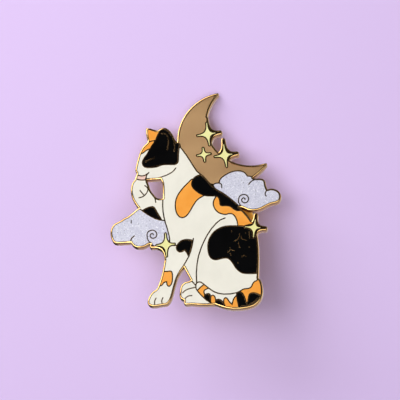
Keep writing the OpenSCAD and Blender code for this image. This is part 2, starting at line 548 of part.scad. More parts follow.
// A spring wing: grips the post inside the drum, leans on the lip and spreads above it
// side is +1 for a wing towards +x and -1 for one towards -x
wing_reach = clutch_d / 2 + 0.5;
lip_r = drum_r - lip_w;
jaw_gap = 0.15;
function wing_line() = path([
    [jaw_gap, sheet_t + 0.5], [lip_r * 0.45, sheet_t + 0.62], [lip_r - 0.55, drum_h - 0.25],
    [lip_r - wing_clear - wing_t / 2, drum_h + 0.45], [lip_r + 0.3, drum_h + 1.5],
    [wing_reach - 0.95, wing_h - 0.75], [wing_reach - 0.1, wing_h - wing_t]
]);
module wing_profile() {
    c = wing_line();
    n = len(c);
    side = [for (i = [0 : n - 1])
        let (d = unit(c[min(i + 1, n - 1)] - c[max(i - 1, 0)]))
            [-d.y, d.x] * wing_t / 2];
    polygon(concat([for (i = [0 : n - 1]) c[i] + side[i]], [for (i = [n - 1 : -1 : 0]) c[i] - side[i]]));
}
module wing(x, side) color(gold) difference() {
    intersection() {
        translate([x, cloth_gap, -wing_w / 2]) scale([side, 1, 1]) linear_extrude(wing_w) wing_profile();
        wing_plan(x, side);
    }
    translate([x, 0, 0]) rotate([-90, 0, 0]) cylinder(r = bore_r, h = post_l + over);
}
// Plan of a wing, seen along the post: narrow jaws and a broad round end
tip_round = 1.2;
jaw_w = 3.0;
module wing_plan(x, side) translate([x, cloth_gap - over, 0]) rotate([-90, 0, 0])
    linear_extrude(wing_h + 2 * over) scale([side, 1])
        offset(r = tip_round, $fn = 32) offset(delta = -tip_round)
            polygon([[-tip_round, -jaw_w / 2], [lip_r, -jaw_w / 2], [lip_r + 1.2, -wing_w / 2],
                     [wing_reach, -wing_w / 2], [wing_reach, wing_w / 2], [lip_r + 1.2, wing_w / 2],
                     [lip_r, jaw_w / 2], [-tip_round, jaw_w / 2]]);

left_x = -post_spacing / 2;
right_x = post_spacing / 2;

base_plate();
fill("white_coat", white);  // white_coat
fill("white_foreleg", white);  // white_foreleg
fill("white_arm", white);  // white_arm
fill("white_hind_paw", white);  // white_hind_paw
fill("white_tail_tip", white);  // white_tail_tip
fill("white_tail_band", white);  // white_tail_band
fill("orange_ear", orange);  // orange_ear
fill("orange_brow", orange);  // orange_brow
fill("orange_shoulder", orange);  // orange_shoulder
fill("orange_back", orange);  // orange_back
fill("orange_foreleg", orange);  // orange_foreleg
fill("orange_tail_stripe", orange);  // orange_tail_stripe
fill("orange_tail_spot", orange);  // orange_tail_spot
fill("orange_tail_wave", orange);  // orange_tail_wave
fill("orange_tail_root", orange);  // orange_tail_root
fill("black_head", black);  // black_head
fill("black_arm", black);  // black_arm
fill("black_back", black);  // black_back
fill("black_haunch", black);  // black_haunch
fill("black_knee", black);  // black_knee
fill("black_tail_spot", black);  // black_tail_spot
fill("black_tail_patch", black);  // black_tail_patch
fill("black_tail_root", black);  // black_tail_root
fill("pink_mouth", pink);  // pink_mouth
fill("left_cloud", glitter);  // left_cloud
fill("right_cloud", glitter);  // right_cloud
fill("top_star", yellow);  // top_star
fill("middle_star", yellow);  // middle_star
fill("little_star", yellow);  // little_star
fill("back_star", yellow);  // back_star
fill("chest_star", yellow);  // chest_star
post(left_x);  // left_post
post(right_x);  // right_post
clutch_cup(left_x);  // left_clutch_cup
wing(left_x, -1);  // left_clutch_outer_wing
wing(left_x, 1);  // left_clutch_inner_wing
clutch_cup(right_x);  // right_clutch_cup
wing(right_x, 1);  // right_clutch_outer_wing
wing(right_x, -1);  // right_clutch_inner_wing
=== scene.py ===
"""Visual model of a gold-plated hard enamel pin: a calico cat before a crescent moon, clouds and stars.

The struck plate, the nail posts and the butterfly clutches are new surfaces worked out with numpy on the
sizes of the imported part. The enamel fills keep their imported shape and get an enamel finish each.
"""
import json
import logging
import math
from dataclasses import dataclass, field
from enum import Enum

import bpy
import numpy as np
from mathutils import Matrix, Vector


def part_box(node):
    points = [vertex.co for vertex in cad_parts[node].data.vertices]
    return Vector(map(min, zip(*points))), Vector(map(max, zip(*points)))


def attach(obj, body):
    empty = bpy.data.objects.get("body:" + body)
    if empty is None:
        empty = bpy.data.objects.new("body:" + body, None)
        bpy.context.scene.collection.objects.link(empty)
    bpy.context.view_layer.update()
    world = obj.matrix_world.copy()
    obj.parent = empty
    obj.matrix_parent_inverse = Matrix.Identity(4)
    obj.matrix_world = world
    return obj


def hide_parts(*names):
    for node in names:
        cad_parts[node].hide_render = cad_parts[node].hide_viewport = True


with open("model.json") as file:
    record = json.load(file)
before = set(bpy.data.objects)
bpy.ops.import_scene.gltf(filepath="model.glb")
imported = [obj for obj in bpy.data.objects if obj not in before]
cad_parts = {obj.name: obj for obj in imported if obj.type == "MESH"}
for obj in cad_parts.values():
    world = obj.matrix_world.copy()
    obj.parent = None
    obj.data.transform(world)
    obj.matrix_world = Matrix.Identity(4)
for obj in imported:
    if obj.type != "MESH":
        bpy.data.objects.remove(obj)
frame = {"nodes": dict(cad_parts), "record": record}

log = logging.getLogger("pin")

MM = 0.001
WELD = 1e-7
CREASE_DEG = 50.0
FRONT = np.array([0.0, -1.0, 0.0])
BACK = np.array([0.0, 1.0, 0.0])


class Worded(Enum):
    """Choices whose names are also words in the names of nodes and pieces."""

    @property
    def word(self) -> str:
        """Lower-case name used in node and piece names."""
        return self.name.lower()


class Side(Worded):
    """Which of the two posts a piece belongs to, with the sign of its place along X."""

    LEFT = -1
    RIGHT = 1


class Wing(Worded):
    """The two wings of a clutch: the outer one points away from the other post."""

    OUTER = 1
    INNER = -1


class Face(Enum):
    """Where a face of the struck plate lies, with the number of the material slot it takes.

    LINES are the flat tops of the raised lines with their narrow edges, RIMS the wide rounded edges round
    the outline and the window, MOON the bare metal of the moon, REVERSE the flat back with its edges, and
    SIDES every wall and the floor of every cell.
    """

    LINES = 0
    MOON = 1
    REVERSE = 2
    SIDES = 3
    RIMS = 4


# ---- Colours and meshes ----


def linear(red: float, green: float, blue: float) -> tuple[float, float, float, float]:
    """Turns a display colour of 0 to 255 per channel into the linear colour that a shader takes.

    Args:
        red: Display value of red.
        green: Display value of green.
        blue: Display value of blue.

    Returns:
        Linear red, green, blue and an alpha of one.
    """
    c = np.array([red, green, blue]) / 255.0
    low = c / 12.92
    high = ((c + 0.055) / 1.055) ** 2.4
    return (*np.where(c <= 0.04045, low, high).tolist(), 1.0)


def make_piece(name: str, points: np.ndarray, faces: list[np.ndarray], sharp_deg: float) -> bpy.types.Object:
    """Puts point and face arrays into a smooth-shaded mesh object at the origin.

    Args:
        name: Name of the piece.
        points: Corner places in metres, one row each.
        faces: Arrays of corner numbers; each array holds faces of one size.
        sharp_deg: Edges that bend by more than this stay crisp.

    Returns:
        The new object.
    """
    mesh = bpy.data.meshes.new(name)
    mesh.from_pydata(points.tolist(), [], [row for array in faces for row in array.tolist()])
    mesh.validate()
    mesh.shade_smooth()
    mesh.set_sharp_from_angle(angle=math.radians(sharp_deg))
    piece = bpy.data.objects.new(name, mesh)
    bpy.context.scene.collection.objects.link(piece)
    return piece


def packed_triangles(node: str) -> tuple[np.ndarray, np.ndarray]:
    """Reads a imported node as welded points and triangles; the node itself is left alone.

    Args:
        node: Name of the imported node.

    Returns:
        Points in metres, and three point numbers per triangle.
    """
    mesh = frame["nodes"][node].data
    mesh.calc_loop_triangles()
    points = np.empty(len(mesh.vertices) * 3)
    mesh.vertices.foreach_get("co", points)
    corners = np.empty(len(mesh.loop_triangles) * 3, dtype=np.int64)
    mesh.loop_triangles.foreach_get("vertices", corners)
    cells = np.round(points.reshape(-1, 3) / WELD).astype(np.int64)
    _, first, weld = np.unique(cells, axis=0, return_index=True, return_inverse=True)
    triangles = weld.reshape(-1)[corners].reshape(-1, 3)
    whole = ((triangles[:, 0] != triangles[:, 1]) & (triangles[:, 1] != triangles[:, 2])
             & (triangles[:, 2] != triangles[:, 0]))
    return points.reshape(-1, 3)[first], triangles[whole]


def grid_faces(rows: int, columns: int, wrap_rows: bool = False, wrap_columns: bool = False) -> np.ndarray:
    """Quads of a grid of points stored row by row.

    Args:
        rows: Number of rows of points.
        columns: Number of points in a row.
        wrap_rows: Whether the last row joins the first.
        wrap_columns: Whether the last point of a row joins its first.

    Returns:
        Four point numbers per quad.
    """
    r = np.arange(rows if wrap_rows else rows - 1)[:, None]
    c = np.arange(columns if wrap_columns else columns - 1)[None, :]
    r1, c1 = (r + 1) % rows, (c + 1) % columns
    quads = np.stack([r * columns + c, r * columns + c1, r1 * columns + c1, r1 * columns + c], -1)
    return quads.reshape(-1, 4)


def smooth_path(knots: np.ndarray, steps: int = 10) -> np.ndarray:
    """Cubic curve through the knots; its direction at a knot runs from the knot before to the knot after.

    Each span is (1+2t)(1-t)^2 P0 + t(1-t)^2 D0 + t^2(3-2t) P1 - t^2(1-t) D1, where D is as long as the span.

    Args:
        knots: Places that the curve passes, one row each.
        steps: Straight pieces in each span.

    Returns:
        Points along the curve, one row each.
    """
    padded = np.vstack([knots[:1], knots, knots[-1:]])
    heading = padded[2:] - padded[:-2]
    heading /= np.linalg.norm(heading, axis=1)[:, None]
    size = np.linalg.norm(np.diff(knots, axis=0), axis=1)[:, None, None]
    t = (np.arange(steps) / steps)[None, :, None]
    s = 1 - t
    spans = ((1 + 2 * t) * s * s * knots[:-1, None] + t * s * s * heading[:-1, None] * size
             + t * t * (3 - 2 * t) * knots[1:, None] - t * t * s * heading[1:, None] * size)
    return np.vstack([spans.reshape(-1, knots.shape[1]), knots[-1:]])


# ---- Finishes ----


@dataclass(frozen=True)
class Finish:
    """A procedural finish whose patterns follow Object coordinates."""

    name: str

    def start(self) -> tuple[bpy.types.Material, bpy.types.NodeTree, bpy.types.Node, bpy.types.NodeSocket]:
        """Makes an empty material with a Principled shader.

        Returns:
            The material, its tree, the shader node and the Object coordinate socket.
        """
        material = bpy.data.materials.new(self.name)
        material.use_nodes = True
        tree = material.node_tree
        shader = tree.nodes["Principled BSDF"]
        place = tree.nodes.new("ShaderNodeTexCoord").outputs["Object"]
        return material, tree, shader, place

    @staticmethod
    def noise(tree: bpy.types.NodeTree, place: bpy.types.NodeSocket, size_mm: float, detail: float
              ) -> bpy.types.NodeSocket:
        """Adds a noise pattern whose features are about size_mm wide.

        Args:
            tree: Node tree to add to.
            place: Socket with the coordinates.
            size_mm: Width of a feature in millimetres.
            detail: Octaves of finer noise.

        Returns:
            The socket with the noise value.
        """
        texture = tree.nodes.new("ShaderNodeTexNoise")
        texture.inputs["Scale"].default_value = 1.0 / (size_mm * MM)
        texture.inputs["Detail"].default_value = detail
        tree.links.new(place, texture.inputs["Vector"])
        return texture.outputs["Fac"]

    @staticmethod
    def between(tree: bpy.types.NodeTree, value: bpy.types.NodeSocket, low: float, high: float,
                target: bpy.types.NodeSocket, start: float = 0.3, end: float = 0.7) -> None:
        """Maps a pattern onto a range of numbers and links it to a socket.

        Args:
            tree: Node tree to add to.
            value: Pattern socket.
            low: Number at the pattern's low end.
            high: Number at the pattern's high end.
            target: Socket that takes the number.
            start: Pattern value that counts as the low end.
            end: Pattern value that counts as the high end.
        """
        span = tree.nodes.new("ShaderNodeMapRange")
        for key, number in (("From Min", start), ("From Max", end), ("To Min", low), ("To Max", high)):
            span.inputs[key].default_value = number
        tree.links.new(value, span.inputs["Value"])
        tree.links.new(span.outputs["Result"], target)

    @staticmethod
    def tint(tree: bpy.types.NodeTree, value: bpy.types.NodeSocket, stops: list[tuple[float, tuple]],
             target: bpy.types.NodeSocket) -> None:
        """Colours a pattern by a ramp and links it to a socket.

        Args:
            tree: Node tree to add to.
            value: Pattern socket.
            stops: Place and linear colour of each stop.
            target: Socket that takes the colour.
        """
        node = tree.nodes.new("ShaderNodeValToRGB")
        ramp = node.color_ramp
        ramp.elements[0].position, ramp.elements[0].color = stops[0]
        ramp.elements[-1].position, ramp.elements[-1].color = stops[-1]
        for where, colour in stops[1:-1]:
            ramp.elements.new(where).color = colour
        tree.links.new(value, node.inputs["Fac"])
        tree.links.new(node.outputs["Color"], target)

    @staticmethod
    def relief(tree: bpy.types.NodeTree, shader: bpy.types.Node,
               layers: list[tuple[bpy.types.NodeSocket, float]]) -> None:
        """Adds bump layers on top of each other.

        Args:
            tree: Node tree to add to.
            shader: Shader that takes the normal.
            layers: Height pattern of each layer and its height in millimetres.
        """
        normal = None
        for height, rise_mm in layers:
            bump = tree.nodes.new("ShaderNodeBump")
            bump.inputs["Strength"].default_value = 1.0
            bump.inputs["Distance"].default_value = rise_mm * MM
            tree.links.new(height, bump.inputs["Height"])
            if normal is not None:
                tree.links.new(normal, bump.inputs["Normal"])
            normal = bump.outputs["Normal"]
        tree.links.new(normal, shader.inputs["Normal"])


@dataclass(frozen=True)
class GoldPlate(Finish):
    """Gold plating: polished, satin or blasted, with a fine grain and uneven lustre."""

    light: tuple[float, float, float] = (222, 182, 122)
    deep: tuple[float, float, float] = (200, 158, 100)
    rough_low: float = 0.08
    rough_high: float = 0.14
    patch_mm: float = 2.5
    grain_mm: float = 0.12
    grain_rise_mm: float = 0.0006
    pebble_mm: float = 0.0
    pebble_rise_mm: float = 0.0
    blend_from: float = 0.35
    blend_to: float = 0.65

    def build(self) -> bpy.types.Material:
        """Builds the finish.

        Returns:
            The material.
        """
        material, tree, shader, place = self.start()
        shader.inputs["Metallic"].default_value = 1.0
        patch = self.noise(tree, place, self.patch_mm, 3.0)
        stops = [(self.blend_from, linear(*self.deep)), (self.blend_to, linear(*self.light))]
        self.tint(tree, patch, stops, shader.inputs["Base Color"])
        self.between(tree, patch, self.rough_low, self.rough_high, shader.inputs["Roughness"])
        layers = [(self.noise(tree, place, self.grain_mm, 3.0), self.grain_rise_mm)]
        if self.pebble_rise_mm > 0:
            pebble = tree.nodes.new("ShaderNodeTexVoronoi")
            pebble.feature = "SMOOTH_F1"
            pebble.inputs["Scale"].default_value = 1.0 / (self.pebble_mm * MM)
            tree.links.new(place, pebble.inputs["Vector"])
            layers.append((pebble.outputs["Distance"], self.pebble_rise_mm))
        self.relief(tree, shader, layers)
        return material


@dataclass(frozen=True)
class Enamel(Finish):
    """Hard enamel: an even glassy colour, faintly cloudy, ground flat and polished."""

    colour: tuple[float, float, float] = (232, 230, 222)
    cloudy: tuple[float, float, float] = (228, 225, 216)
    rough_low: float = 0.08
    rough_high: float = 0.14
    ior: float = 1.5
    cloud_mm: float = 3.2
    blend_from: float = 0.35
    blend_to: float = 0.65
    smear_mm: float = 0.5
    wave_mm: float = 1.6
    wave_rise_mm: float = 0.0025
    scratch_mm: float = 0.12
    scratch_rise_mm: float = 0.0002

    def build(self) -> bpy.types.Material:
        """Builds the finish.

        Returns:
            The material.
        """
        material, tree, shader, place = self.start()
        shader.inputs["IOR"].default_value = self.ior
        cloud = self.noise(tree, place, self.cloud_mm, 4.0)
        stops = [(self.blend_from, linear(*self.cloudy)), (self.blend_to, linear(*self.colour))]
        self.tint(tree, cloud, stops, shader.inputs["Base Color"])
        self.between(tree, self.noise(tree, place, self.smear_mm, 3.0), self.rough_low, self.rough_high,
                     shader.inputs["Roughness"])
        self.relief(tree, shader, [(self.noise(tree, place, self.wave_mm, 1.0), self.wave_rise_mm),
                                   (self.noise(tree, place, self.scratch_mm, 2.0), self.scratch_rise_mm)])
        return material


@dataclass(frozen=True)
class GlitterEnamel(Finish):
    """Clear lavender-grey enamel full of small flakes, each tipped its own way."""

    flake_mm: float = 0.17
    shades: tuple[tuple[float, tuple[float, float, float]], ...] = (
        (0.0, (188, 188, 206)), (0.35, (198, 198, 214)), (0.7, (206, 206, 220)), (0.92, (216, 216, 228)),
        (1.0, (236, 236, 244)))
    foil_from: float = 0.85
    foil_most: float = 0.7
    rough_low: float = 0.22
    rough_high: float = 0.5
    tilt_mm: float = 0.006
    wave_mm: float = 0.9
    wave_rise_mm: float = 0.004
    coat: float = 0.35
    coat_rough: float = 0.08

    def build(self) -> bpy.types.Material:
        """Builds the finish.

        Returns:
            The material.
        """
        material, tree, shader, place = self.start()
        flakes = tree.nodes.new("ShaderNodeTexVoronoi")
        flakes.inputs["Scale"].default_value = 1.0 / (self.flake_mm * MM)
        tree.links.new(place, flakes.inputs["Vector"])
        split = tree.nodes.new("ShaderNodeSeparateColor")
        tree.links.new(flakes.outputs["Color"], split.inputs["Color"])
        self.tint(tree, split.outputs["Red"], [(share, linear(*shade)) for share, shade in self.shades],
                  shader.inputs["Base Color"])
        self.between(tree, split.outputs["Green"], 0.0, self.foil_most, shader.inputs["Metallic"],
                     self.foil_from, 1.0)
        self.between(tree, split.outputs["Blue"], self.rough_low, self.rough_high, shader.inputs["Roughness"],
                     0.0, 1.0)
        shader.inputs["Coat Weight"].default_value = self.coat
        shader.inputs["Coat Roughness"].default_value = self.coat_rough
        self.relief(tree, shader, [(split.outputs["Blue"], self.tilt_mm),
                                   (self.noise(tree, place, self.wave_mm, 2.0), self.wave_rise_mm)])
        return material


# ---- The struck plate ----


@dataclass(frozen=True)
class FlatFace:
    """A level face of the plate whose edges are rounded.

    Attributes:
        triangles: Its triangles, three point numbers each.
        normal: Its outward normal.
        slot: Its finish.
        rim: Whether the edge at each point of the plate is an outer rim.
        inset: How far from the wall the rounding starts at each point, in metres.
        drop: How far below the face it ends at each point, in metres.
    """

    triangles: np.ndarray
    normal: np.ndarray
    slot: Face
    rim: np.ndarray
    inset: np.ndarray
    drop: np.ndarray


@dataclass
class StruckPlate:
    """The gold base plate, its edges rounded by polishing.

    Every edge between a flat face and a wall becomes a quarter ellipse carried along the edge's own loop.
    It leaves the face one inset before the wall and meets the wall one drop below the face: at angle a
    from 0 to 90 degrees its point is inset * (1 - sin a) from the wall and drop * (1 - cos a) below the
    face. Outer rims and the window's rim are worn widely, the thin lines narrowly, the back in between.
    The real plate is one gold all over. The lines, the moon and the walls get darker base colours than the
    rims and the back: painted shade, which holds the contrast between them.

    Attributes:
        level: How upright a face's normal is when the face counts as flat.
        mitre_limit: Longest mitre at a corner, as a multiple of the inset.
        tolerance: How far from a level a point may lie and still belong to it.
        steps: Straight pieces in each quarter ellipse.
    """

    level: float = 0.9999
    rim_inset: float = 0.26 * MM
    rim_drop: float = 0.22 * MM
    line_inset: float = 0.03 * MM
    line_drop: float = 0.02 * MM
    back_inset: float = 0.12 * MM
    back_drop: float = 0.12 * MM
    moon_depth: float = 0.12 * MM
    steps: int = 4
    mitre_limit: float = 1.6
    tolerance: float = 0.004 * MM
    crease_deg: float = 40.0
    finishes: dict[Face, Finish] = field(default_factory=lambda: {
        # Painted shade: the lines get a dark base colour, far darker than the gold of the rims and the back.
        Face.LINES: GoldPlate("gold_lines_painted_shade", light=(134, 106, 72), deep=(104, 80, 52)),
        Face.RIMS: GoldPlate("gold_rims", light=(232, 194, 132), deep=(206, 162, 102)),
        # Painted shade: the moon gets a darker base colour than the gold of the rims and the back.
        Face.MOON: GoldPlate("gold_moon_painted_shade", light=(186, 150, 108), deep=(181, 144, 103), rough_low=0.34,
                             rough_high=0.40, patch_mm=6.0, grain_mm=0.07, grain_rise_mm=0.0018),
        Face.REVERSE: GoldPlate("gold_reverse", light=(234, 198, 134), deep=(224, 186, 120), rough_low=0.36,
                                rough_high=0.44, patch_mm=4.0, pebble_mm=0.3, pebble_rise_mm=0.006),
        # Painted shade: the walls and cell floors get a dark reddish-brown base colour.
        Face.SIDES: GoldPlate("gold_sides_painted_shade", light=(156, 96, 58), deep=(122, 70, 44), rough_low=0.18,
                              rough_high=0.3, patch_mm=1.5),
    })

    @staticmethod
    def loops(triangles: np.ndarray, count: int) -> tuple[np.ndarray, np.ndarray]:
        """Finds the directed edges that bound a set of triangles.

        Args:
            triangles: Three point numbers per triangle.
            count: Number of points in the mesh.

        Returns:
            The start point and the end point of each bounding edge.
        """
        start = triangles.reshape(-1)
        end = np.roll(triangles, -1, axis=1).reshape(-1)
        lone = ~np.isin(start * count + end, end * count + start)
        return start[lone], end[lone]

    def rounding(self, points: np.ndarray, start: np.ndarray, end: np.ndarray, normal: np.ndarray
                 ) -> np.ndarray:
        """Direction from each loop point into the metal, lengthened at corners as a mitre.

        Args:
            points: All points.
            start: Start point of each edge.
            end: End point of each edge.
            normal: Outward normal of the face.

        Returns:
            One direction per point of the mesh; zero away from the loops.
        """
        along = points[end] - points[start]
        along /= np.maximum(np.linalg.norm(along, axis=1), 1e-12)[:, None]
        inward = np.cross(normal, along)
        total = np.zeros_like(points)
        np.add.at(total, start, inward)
        np.add.at(total, end, inward)
        size = np.maximum(np.linalg.norm(total, axis=1), 1e-9)
        return total / size[:, None] * np.minimum(2.0 / size, self.mitre_limit)[:, None]

    def round_face(self, points: np.ndarray, flat: FlatFace, base: int
                   ) -> tuple[np.ndarray, np.ndarray, list[np.ndarray], list[np.ndarray]]:
        """Draws a flat face in from its walls and closes the gap with rings of triangles.

        Args:
            points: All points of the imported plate.
            flat: The face.
            base: Number that the first new point gets.

        Returns:
            The loop points, which move down to the foot of the rounding, the new points ring by ring, and
            the triangles and their slots, the face itself first.
        """
        start, end = self.loops(flat.triangles, len(points))
        inward = self.rounding(points, start, end, flat.normal)
        edge = np.unique(start)
        number = np.full(len(points), -1)
        number[edge] = np.arange(len(edge))
        inset, drop = flat.inset[edge][:, None], flat.drop[edge][:, None]
        angle = np.arange(self.steps) / self.steps * math.pi / 2
        rings = [points[edge] + inward[edge] * inset * (1 - math.sin(a))
                 - flat.normal * drop * (1 - math.cos(a)) for a in angle]
        inner = number[flat.triangles]
        corners = [np.where(inner >= 0, base + inner, flat.triangles)]
        slots = [np.full(len(flat.triangles), flat.slot.value)]
        starts = [base + step * len(edge) + number[start] for step in range(self.steps)] + [start]
        ends = [base + step * len(edge) + number[end] for step in range(self.steps)] + [end]
        for a0, b0, a1, b1 in zip(starts, ends, starts[1:], ends[1:]):
            corners.append(np.concatenate([np.stack([b0, a0, a1], -1), np.stack([b0, a1, b1], -1)]))
            slots.append(np.tile(np.where(flat.rim[start], Face.RIMS.value, Face.LINES.value), 2))
        return edge, np.concatenate(rings), corners, slots

    def flat_faces(self, points: np.ndarray, triangles: np.ndarray
                   ) -> tuple[FlatFace, FlatFace, np.ndarray, np.ndarray]:
        """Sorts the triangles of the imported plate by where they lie.

        Args:
            points: All points.
            triangles: Three point numbers per triangle.

        Returns:
            The tops of the lines, the back, the triangles of the moon, and those of the walls and cells.
        """
        low, high = points[:, 1].min(), points[:, 1].max()
        depth = points[:, 1][triangles]
        front, back, moon = ((np.abs(depth - level) < self.tolerance).all(axis=1)
                             for level in (low, high, low + self.moon_depth))
        side = ~(front | back | moon)
        outer = np.zeros(len(points), dtype=bool)
        outer[triangles[side & (np.abs(depth - high) < self.tolerance).any(axis=1)]] = True
        everywhere = np.ones(len(points))
        lines = FlatFace(triangles[front], FRONT, Face.LINES, outer,
                         inset=np.where(outer, self.rim_inset, self.line_inset),
                         drop=np.where(outer, self.rim_drop, self.line_drop))
        reverse = FlatFace(triangles[back], BACK, Face.REVERSE, everywhere.astype(bool),
                           inset=everywhere * self.back_inset, drop=everywhere * self.back_drop)
        return lines, reverse, triangles[moon], triangles[side]

    def build(self) -> bpy.types.Object:
        """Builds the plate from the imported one.

        Returns:
            The finished piece.
        """
        points, triangles = packed_triangles("base_plate")
        lines, reverse, moon, sides = self.flat_faces(points, triangles)
        lowered = points.copy()
        parts, corners, slots = [lowered], [], []
        for flat in (lines, reverse):
            edge, rings, faces, numbers = self.round_face(points, flat, sum(len(part) for part in parts))
            lowered[edge] = points[edge] - flat.normal * flat.drop[edge][:, None]
            parts.append(rings)
            corners += faces
            slots += numbers
        corners += [moon, sides]
        slots += [np.full(len(moon), Face.MOON.value), np.full(len(sides), Face.SIDES.value)]
        piece = make_piece("struck_plate", np.concatenate(parts), corners, self.crease_deg)
        self.dress(piece, np.concatenate(slots))
        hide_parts("base_plate")
        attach(piece, "pin")
        return piece

    def dress(self, piece: bpy.types.Object, slots: np.ndarray) -> None:
        """Gives each face of the plate its finish, and flat shading to the level ones.

        Args:
            piece: The plate.
            slots: Material slot number of each face.

        Raises:
            ValueError: If the mesh has lost faces, so that the slots no longer line up with them.
        """
        for face in Face:
            piece.data.materials.append(self.finishes[face].build())
        if len(slots) != len(piece.data.polygons):
            raise ValueError(f"{len(slots)} slots for {len(piece.data.polygons)} faces")
        piece.data.polygons.foreach_set("material_index", slots.astype(np.int32))
        normals = np.empty(len(piece.data.polygons) * 3)
        piece.data.polygons.foreach_get("normal", normals)
        piece.data.polygons.foreach_set("use_smooth", np.abs(normals[1::3]) < self.level)
        piece.data.update()


# ---- Enamel ----


@dataclass
class EnamelFills:
    """The enamel fills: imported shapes, each with the finish of its colour."""

    finishes: dict[str, Finish] = field(default_factory=lambda: {
        "enamel_white": Enamel("white_enamel", (237, 234, 221), (232, 229, 216)),
        "enamel_orange": Enamel("orange_enamel", (246, 168, 74), (242, 158, 62)),
        "enamel_black": Enamel("black_enamel", (5, 5, 6), (3, 3, 4), 0.06, 0.1, 1.3),
        "enamel_pink": Enamel("pink_enamel", (238, 204, 190), (232, 194, 180)),
        "enamel_yellow": Enamel("yellow_enamel", (238, 235, 168), (232, 228, 156)),
        "enamel_glitter": GlitterEnamel("glitter_enamel"),
    })

    def dress(self) -> int:
        """Gives every fill its finish.

        Returns:
            The number of fills.
        """
        built = {slot: finish.build() for slot, finish in self.finishes.items()}
        fills = [part for part in frame["record"]["subparts"] if part["material_slot"] in built]
        for part in fills:
            node = frame["nodes"][part["node"]]
            if not node.material_slots:
                node.data.materials.append(None)
            for holder in node.material_slots:
                holder.material = built[part["material_slot"]]
            log.info("enamel %s in %s", part["node"], part["material_slot"])
        return len(fills)


# ---- Findings on the back ----


def turned(name: str, profile: np.ndarray, centre_x: float, turns: int = 96, closed: bool = False
           ) -> bpy.types.Object:
    """Turns a profile about the axis of a post: radius r and height h become (x + r cos a, h, r sin a).

    Args:
        name: Name of the piece.
        profile: Radius and height of each profile point, in metres.
        centre_x: X of the axis.
        turns: Steps round the axis.
        closed: Whether the profile is a closed loop; an open one starts and ends on the axis.

    Returns:
        The new object.
    """
    angle = np.arange(turns) / turns * 2 * math.pi
    radius = profile[:, 0][:, None] * np.ones(turns)[None, :]
    height = profile[:, 1][:, None] * np.ones(turns)[None, :]
    grid = np.stack([centre_x + radius * np.cos(angle), height, radius * np.sin(angle)], -1)
    rows = len(profile)
    if closed:
        return make_piece(name, grid.reshape(-1, 3), [grid_faces(rows, turns, True, True)], CREASE_DEG)
    inner = grid[1:-1].reshape(-1, 3)
    quads = grid_faces(rows - 2, turns, False, True)
    ends = np.array([[centre_x, profile[0, 1], 0.0], [centre_x, profile[-1, 1], 0.0]])
    a = np.arange(turns)
    b = (a + 1) % turns
    last = (rows - 3) * turns
    first_cap = np.stack([np.full(turns, len(inner)), b, a], -1)
    last_cap = np.stack([np.full(turns, len(inner) + 1), last + a, last + b], -1)
    return make_piece(name, np.concatenate([inner, ends]), [quads, first_cap, last_cap], CREASE_DEG)


def rounded(corners: np.ndarray, radii: np.ndarray, steps: int = 5, closed: bool = False) -> np.ndarray:
    """Rounds the corners of a profile with arcs drawn as quadratic curves.

    At a corner P with neighbours A and B the curve runs from P + u r to P + v r, where u and v point to
    A and B, as (1-t)^2 (P + u r) + 2 t (1-t) P + t^2 (P + v r).

    Args:
        corners: Profile corners, one row each.
        radii: How far from each corner its curve starts; zero keeps the corner.
        steps: Straight pieces in each curve.
        closed: Whether the profile is a closed loop.

    Returns:
        The profile with rounded corners.
    """
    before = np.roll(corners, 1, axis=0)
    after = np.roll(corners, -1, axis=0)
    u = before - corners
    v = after - corners
    lu, lv = np.linalg.norm(u, axis=1), np.linalg.norm(v, axis=1)
    reach = np.minimum(radii, 0.49 * np.minimum(lu, lv))
    if not closed:
        reach[[0, -1]] = 0.0
    u, v = u / lu[:, None], v / lv[:, None]
    t = np.linspace(0, 1, steps + 1)[None, :, None]
    p = corners[:, None, :]
    r = reach[:, None, None]
    curve = (1 - t) ** 2 * (p + u[:, None] * r) + 2 * t * (1 - t) * p + t ** 2 * (p + v[:, None] * r)
    keep = np.ones(curve.shape[:2], dtype=bool)
    keep[reach <= 0, 1:] = False
    return curve[keep]


@dataclass
class NailPost:
    """A nail post soldered to the back: a round pad, a shank, a locking groove and a point."""

    side: Side
    shank_r: float = 0.55 * MM
    pad_t: float = 0.5 * MM
    groove_from: float = 5.3 * MM
    groove_l: float = 0.5 * MM
    groove_depth: float = 0.12 * MM
    groove_slope: float = 0.12 * MM
    tip_l: float = 1.0 * MM
    tip_r: float = 0.14 * MM
    finish: Finish = GoldPlate("gold_post", light=(240, 206, 140), deep=(224, 184, 116), patch_mm=1.2)

    def build(self) -> bpy.types.Object:
        """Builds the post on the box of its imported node.

        Returns:
            The finished piece.
        """
        node = f"{self.side.word}_post"
        low, high = (np.array(corner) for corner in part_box(node))
        centre = (low[0] + high[0]) / 2
        pad_r = (high[0] - low[0]) / 2
        tip = high[1]
        waist = self.shank_r - self.groove_depth
        groove_to = self.groove_from + self.groove_l
        corners = np.array([
            [0.0, low[1]], [pad_r, low[1]], [pad_r, self.pad_t], [self.shank_r, self.pad_t],
            [self.shank_r, self.groove_from], [waist, self.groove_from + self.groove_slope],
            [waist, groove_to - self.groove_slope], [self.shank_r, groove_to],
            [self.shank_r, tip - self.tip_l], [self.tip_r, tip], [0.0, tip]])
        radii = np.array([0, 0.02, 0.22, 0.3, 0.06, 0.06, 0.06, 0.06, 0.3, 0.1, 0]) * MM
        piece = turned(f"{node}_turned", rounded(corners, radii), centre)
        piece.data.materials.append(self.finish.build())
        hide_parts(node)
        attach(piece, "pin")
        return piece


